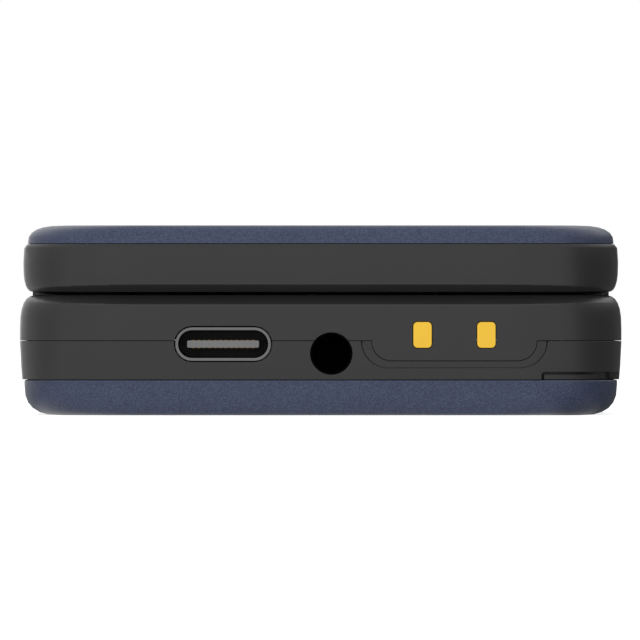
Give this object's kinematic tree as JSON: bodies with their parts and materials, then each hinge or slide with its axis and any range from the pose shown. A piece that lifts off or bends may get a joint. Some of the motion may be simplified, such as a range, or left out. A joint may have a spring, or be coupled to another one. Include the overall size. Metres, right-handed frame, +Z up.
{
  "type": "flip phone",
  "caption": "Folding mobile phone, closed, with hinged lid, number keypad, clip-off battery cover, charging socket, audio socket and cradle contacts.",
  "frame": {"origin": "middle of the footprint, on the surface that the closed phone lies on", "axes": "-Y to the charging end, +Y to the hinge, +Z up from the battery cover to the lid, +X to the right when facing the charging end"},
  "size_m": [0.056, 0.108, 0.0176],
  "materials": {
    "cover_paint": "speckled satin paint",
    "case_plastic": "fine matt",
    "key_plastic": "satin",
    "call_plastic": "satin",
    "end_plastic": "satin",
    "silicone": "matt",
    "bumper_rubber": "matt",
    "clear_glass": "polished",
    "display": "polished",
    "steel": "bright",
    "socket_steel": "satin",
    "gold_plate": "polished",
    "board": "solder mask",
    "polyimide": "film",
    "black_plastic": "satin",
    "tongue_plastic": "satin",
    "battery_can": "wrapped in a dark film",
    "magnet": "nickel plated"
  },
  "bodies": {
    "base": {"base_front_housing": "case_plastic", "base_rear_housing": "case_plastic", "battery": "battery_can", "battery_contacts": "gold_plate", "main_board": "board", "shield_cans": "steel", "dome_sheet": "steel", "keypad_mat": "silicone", "usb_shell": "socket_steel", "usb_tongue": "tongue_plastic", "audio_jack": "black_plastic", "charging_contacts": "gold_plate", "contact_springs": "gold_plate", "microphone": "steel", "loudspeaker": "black_plastic", "vibration_motor": "steel", "card_holder": "steel", "base_screws": "steel", "hinge_shaft": "steel", "hinge_bush": "steel", "base_flex": "polyimide"},
    "cover": {"battery_cover": "cover_paint"},
    "lid": {"lid_housing": "case_plastic", "lid_outer_cover": "cover_paint", "display_glass": "clear_glass", "display_panel": "display", "outer_window": "clear_glass", "outer_panel": "display", "camera_module": "black_plastic", "camera_window": "clear_glass", "flash_lens": "clear_glass", "earpiece": "black_plastic", "lid_board": "board", "closing_magnet": "magnet", "lid_bumpers": "bumper_rubber", "lid_screws": "steel", "hinge_cartridge": "steel", "lid_flex": "polyimide"},
    "key_1": {"key_1": "key_plastic"},
    "key_2": {"key_2": "key_plastic"},
    "key_3": {"key_3": "key_plastic"},
    "key_4": {"key_4": "key_plastic"},
    "key_5": {"key_5": "key_plastic"},
    "key_6": {"key_6": "key_plastic"},
    "key_7": {"key_7": "key_plastic"},
    "key_8": {"key_8": "key_plastic"},
    "key_9": {"key_9": "key_plastic"},
    "key_star": {"key_star": "key_plastic"},
    "key_0": {"key_0": "key_plastic"},
    "key_hash": {"key_hash": "key_plastic"},
    "soft_key_left": {"soft_key_left": "key_plastic"},
    "soft_key_right": {"soft_key_right": "key_plastic"},
    "nav_ring": {"nav_ring": "key_plastic"},
    "call_key": {"call_key": "call_plastic"},
    "end_key": {"end_key": "end_plastic"},
    "ok_key": {"ok_key": "key_plastic"},
    "volume_up_key": {"volume_up_key": "key_plastic"},
    "volume_down_key": {"volume_down_key": "key_plastic"}
  },
  "joints": [
    {"name": "lid_hinge", "type": "hinge", "parent": "base", "child": "lid", "pos_m": [0, 0.0494, 0.0113], "axis": [-1, 0, 0], "range_deg": [0, 160]},
    {"name": "cover_off", "type": "slide", "parent": "base", "child": "cover", "axis": [0, 0, -1], "range_m": [0, 0.012]},
    {"name": "key_1_press", "type": "slide", "parent": "base", "child": "key_1", "axis": [0, 0, -1], "range_m": [0, 0.0003], "stiffness_N_per_m": 4000, "springref_m": -0.0001},
    {"name": "key_2_press", "type": "slide", "parent": "base", "child": "key_2", "axis": [0, 0, -1], "range_m": [0, 0.0003], "stiffness_N_per_m": 4000, "springref_m": -0.0001},
    {"name": "key_3_press", "type": "slide", "parent": "base", "child": "key_3", "axis": [0, 0, -1], "range_m": [0, 0.0003], "stiffness_N_per_m": 4000, "springref_m": -0.0001},
    {"name": "key_4_press", "type": "slide", "parent": "base", "child": "key_4", "axis": [0, 0, -1], "range_m": [0, 0.0003], "stiffness_N_per_m": 4000, "springref_m": -0.0001},
    {"name": "key_5_press", "type": "slide", "parent": "base", "child": "key_5", "axis": [0, 0, -1], "range_m": [0, 0.0003], "stiffness_N_per_m": 4000, "springref_m": -0.0001},
    {"name": "key_6_press", "type": "slide", "parent": "base", "child": "key_6", "axis": [0, 0, -1], "range_m": [0, 0.0003], "stiffness_N_per_m": 4000, "springref_m": -0.0001},
    {"name": "key_7_press", "type": "slide", "parent": "base", "child": "key_7", "axis": [0, 0, -1], "range_m": [0, 0.0003], "stiffness_N_per_m": 4000, "springref_m": -0.0001},
    {"name": "key_8_press", "type": "slide", "parent": "base", "child": "key_8", "axis": [0, 0, -1], "range_m": [0, 0.0003], "stiffness_N_per_m": 4000, "springref_m": -0.0001},
    {"name": "key_9_press", "type": "slide", "parent": "base", "child": "key_9", "axis": [0, 0, -1], "range_m": [0, 0.0003], "stiffness_N_per_m": 4000, "springref_m": -0.0001},
    {"name": "key_star_press", "type": "slide", "parent": "base", "child": "key_star", "axis": [0, 0, -1], "range_m": [0, 0.0003], "stiffness_N_per_m": 4000, "springref_m": -0.0001},
    {"name": "key_0_press", "type": "slide", "parent": "base", "child": "key_0", "axis": [0, 0, -1], "range_m": [0, 0.0003], "stiffness_N_per_m": 4000, "springref_m": -0.0001},
    {"name": "key_hash_press", "type": "slide", "parent": "base", "child": "key_hash", "axis": [0, 0, -1], "range_m": [0, 0.0003], "stiffness_N_per_m": 4000, "springref_m": -0.0001},
    {"name": "soft_key_left_press", "type": "slide", "parent": "base", "child": "soft_key_left", "axis": [0, 0, -1], "range_m": [0, 0.0003], "stiffness_N_per_m": 4000, "springref_m": -0.0001},
    {"name": "soft_key_right_press", "type": "slide", "parent": "base", "child": "soft_key_right", "axis": [0, 0, -1], "range_m": [0, 0.0003], "stiffness_N_per_m": 4000, "springref_m": -0.0001},
    {"name": "nav_ring_press", "type": "slide", "parent": "base", "child": "nav_ring", "axis": [0, 0, -1], "range_m": [0, 0.0003], "stiffness_N_per_m": 4000, "springref_m": -0.0001},
    {"name": "call_key_press", "type": "slide", "parent": "base", "child": "call_key", "axis": [0, 0, -1], "range_m": [0, 0.0003], "stiffness_N_per_m": 4000, "springref_m": -0.0001},
    {"name": "end_key_press", "type": "slide", "parent": "base", "child": "end_key", "axis": [0, 0, -1], "range_m": [0, 0.0003], "stiffness_N_per_m": 4000, "springref_m": -0.0001},
    {"name": "ok_key_press", "type": "slide", "parent": "base", "child": "ok_key", "axis": [0, 0, -1], "range_m": [0, 0.0003], "stiffness_N_per_m": 4000, "springref_m": -0.0001},
    {"name": "volume_up_key_press", "type": "slide", "parent": "base", "child": "volume_up_key", "axis": [1, 0, 0], "range_m": [0, 0.0003], "stiffness_N_per_m": 4000, "springref_m": -0.0001},
    {"name": "volume_down_key_press", "type": "slide", "parent": "base", "child": "volume_down_key", "axis": [1, 0, 0], "range_m": [0, 0.0003], "stiffness_N_per_m": 4000, "springref_m": -0.0001}
  ]
}
